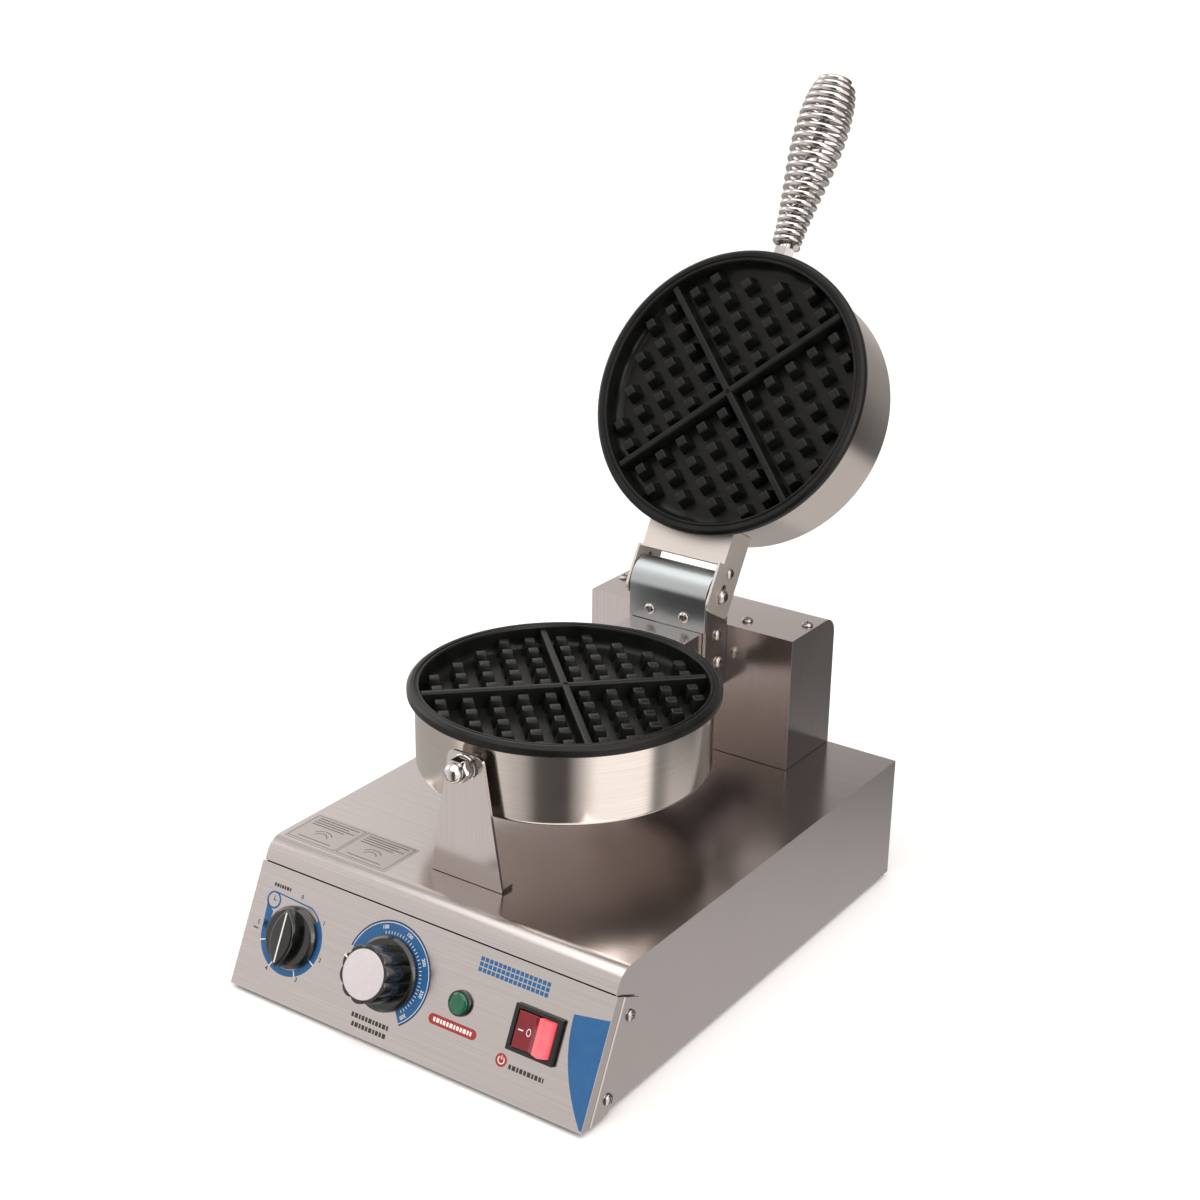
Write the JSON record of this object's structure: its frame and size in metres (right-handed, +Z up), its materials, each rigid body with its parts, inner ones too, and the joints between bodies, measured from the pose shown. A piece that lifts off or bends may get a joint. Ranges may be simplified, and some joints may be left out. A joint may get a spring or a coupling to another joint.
{
  "type": "waffle maker",
  "caption": "Commercial round waffle maker: fixed lower pan, hinged upper pan with coil handle, steel base with sloping control panel.",
  "frame": {"origin": "on the floor, under the centre of the whole part as it stands with the lid open", "axes": "+Z up, +Y from the control panel to the rear, +X to the right seen from the control panel"},
  "size_m": [0.256, 0.4692, 0.491],
  "materials": {
    "brushed_steel": "fine vertical or lengthwise brushing",
    "polished_steel": "satin polished, spun",
    "chrome": "bright plated",
    "nonstick": "satin non-stick coating on cast aluminium",
    "black_gloss": "glossy moulded phenolic",
    "silver_cap": "spun satin disc",
    "green_lens": "translucent green moulding",
    "red_rocker": "translucent red moulding, lit",
    "rubber": "matt",
    "ceramic": "matt ceramic and moulded insulator",
    "wool": "pressed ceramic wool",
    "zinc": "zinc plated"
  },
  "bodies": {
    "base": {"base_shell": "brushed_steel", "control_panel": "brushed_steel", "rear_panel": "brushed_steel", "tower_cover": "brushed_steel", "hinge_housing": "brushed_steel", "lower_arm": "brushed_steel", "front_bracket": "brushed_steel", "lower_casing": "polished_steel", "hinge_cover": "polished_steel", "front_washer": "chrome", "front_acorn_nut": "chrome", "pivot_screw_1": "chrome", "pivot_screw_2": "chrome", "hinge_cover_screw_1": "chrome", "hinge_cover_screw_2": "chrome", "hinge_side_screw_1": "chrome", "hinge_side_screw_2": "chrome", "hinge_side_screw_3": "chrome", "hinge_side_screw_4": "chrome", "tower_screw_1": "chrome", "tower_screw_2": "chrome", "tower_screw_3": "chrome", "tower_screw_4": "chrome", "panel_screw_1": "chrome", "panel_screw_2": "chrome", "panel_screw_3": "chrome", "panel_screw_4": "chrome", "lower_plate": "nonstick", "pilot_lamp_bezel": "black_gloss", "switch_frame": "black_gloss", "pilot_lamp_lens": "green_lens", "cable_gland": "rubber", "foot_1": "rubber", "foot_2": "rubber", "foot_3": "rubber", "foot_4": "rubber", "thermostat_body": "ceramic", "terminal_block": "ceramic", "lower_insulation": "wool", "bottom_plate": "zinc", "timer_body": "zinc", "lower_element": "zinc", "lower_stud": "zinc", "hinge_pin": "zinc"},
    "lid": {"upper_plate": "nonstick", "upper_element": "zinc", "upper_insulation": "wool", "upper_casing": "polished_steel", "lid_arm": "brushed_steel", "arm_screw_1": "chrome", "arm_screw_2": "chrome", "handle_rod": "chrome", "handle_ferrule": "chrome", "handle_coil": "chrome"},
    "timer_knob": {"timer_knob": "black_gloss", "timer_shaft": "zinc"},
    "temperature_knob": {"temperature_knob": "black_gloss", "temperature_knob_cap": "silver_cap", "thermostat_shaft": "zinc"},
    "rocker": {"rocker": "red_rocker"}
  },
  "joints": [
    {"name": "lid_hinge", "type": "hinge", "parent": "base", "child": "lid", "pos_m": [0, 0.05655, 0.1933], "axis": [1, 0, 0], "range_deg": [0, 120]},
    {"name": "timer_turn", "type": "hinge", "parent": "base", "child": "timer_knob", "pos_m": [-0.09, -0.20822, 0.03749], "axis": [0, 0.9029, -0.4299], "range_deg": [0, 300]},
    {"name": "temperature_turn", "type": "hinge", "parent": "base", "child": "temperature_knob", "pos_m": [-0.0197, -0.20762, 0.03875], "axis": [0, 0.9029, -0.4299], "range_deg": [0, 220]},
    {"name": "switch_rock", "type": "hinge", "parent": "base", "child": "rocker", "pos_m": [0.0835, -0.20668, 0.03864], "axis": [0, 0.4299, 0.9029], "range_deg": [0, 22]}
  ]
}
